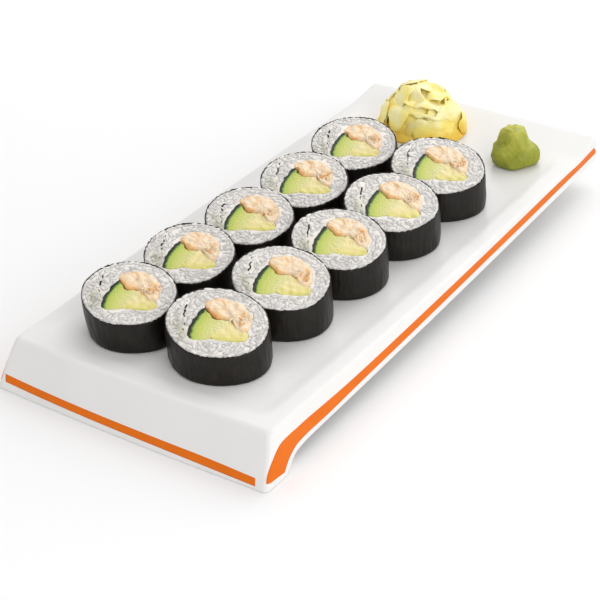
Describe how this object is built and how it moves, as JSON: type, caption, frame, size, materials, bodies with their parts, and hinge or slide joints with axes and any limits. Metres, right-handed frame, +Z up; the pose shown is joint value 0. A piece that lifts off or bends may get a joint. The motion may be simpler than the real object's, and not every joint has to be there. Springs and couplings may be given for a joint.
{
  "type": "maki sushi platter",
  "caption": "Thick maki roll slices standing in two rows on a long white tray, with a heap of pickled ginger and a mound of wasabi.",
  "frame": {"origin": "on the table, under the middle of the tray", "axes": "+Z up, -Y towards the tray's slanted front face, +X to the right when looking from the front"},
  "size_m": [0.1668, 0.348, 0.0534],
  "materials": {
    "porcelain": "white glaze, glossy, with plain orange trim stripes on the front face and the side bands",
    "nori": "pressed seaweed, near black with a green cast, finely wrinkled, satin sheen",
    "rice": "cooked short-grain rice, moist and slightly glossy",
    "cucumber": "cut cucumber, moist, with a dark green skin on one side",
    "avocado": "ripe avocado flesh, smooth and matt",
    "seafood": "cooked shrimp and crab meat, peach with orange streaks",
    "ginger": "thin pickled ginger slices, moist and slightly translucent",
    "wasabi": "wasabi paste, matt and lumpy"
  },
  "bodies": {
    "root": {"nori_left_1": "nori", "rice_left_1": "rice", "cucumber_left_1": "cucumber", "avocado_left_1": "avocado", "seafood_left_1": "seafood", "nori_left_2": "nori", "rice_left_2": "rice", "cucumber_left_2": "cucumber", "avocado_left_2": "avocado", "seafood_left_2": "seafood", "nori_left_3": "nori", "rice_left_3": "rice", "cucumber_left_3": "cucumber", "avocado_left_3": "avocado", "seafood_left_3": "seafood", "nori_left_4": "nori", "rice_left_4": "rice", "cucumber_left_4": "cucumber", "avocado_left_4": "avocado", "seafood_left_4": "seafood", "nori_left_5": "nori", "rice_left_5": "rice", "cucumber_left_5": "cucumber", "avocado_left_5": "avocado", "seafood_left_5": "seafood", "nori_right_1": "nori", "rice_right_1": "rice", "cucumber_right_1": "cucumber", "avocado_right_1": "avocado", "seafood_right_1": "seafood", "nori_right_2": "nori", "rice_right_2": "rice", "cucumber_right_2": "cucumber", "avocado_right_2": "avocado", "seafood_right_2": "seafood", "nori_right_3": "nori", "rice_right_3": "rice", "cucumber_right_3": "cucumber", "avocado_right_3": "avocado", "seafood_right_3": "seafood", "nori_right_4": "nori", "rice_right_4": "rice", "cucumber_right_4": "cucumber", "avocado_right_4": "avocado", "seafood_right_4": "seafood", "nori_right_5": "nori", "rice_right_5": "rice", "cucumber_right_5": "cucumber", "avocado_right_5": "avocado", "seafood_right_5": "seafood", "tray": "porcelain", "ginger": "ginger", "wasabi": "wasabi"}
  },
  "joints": []
}
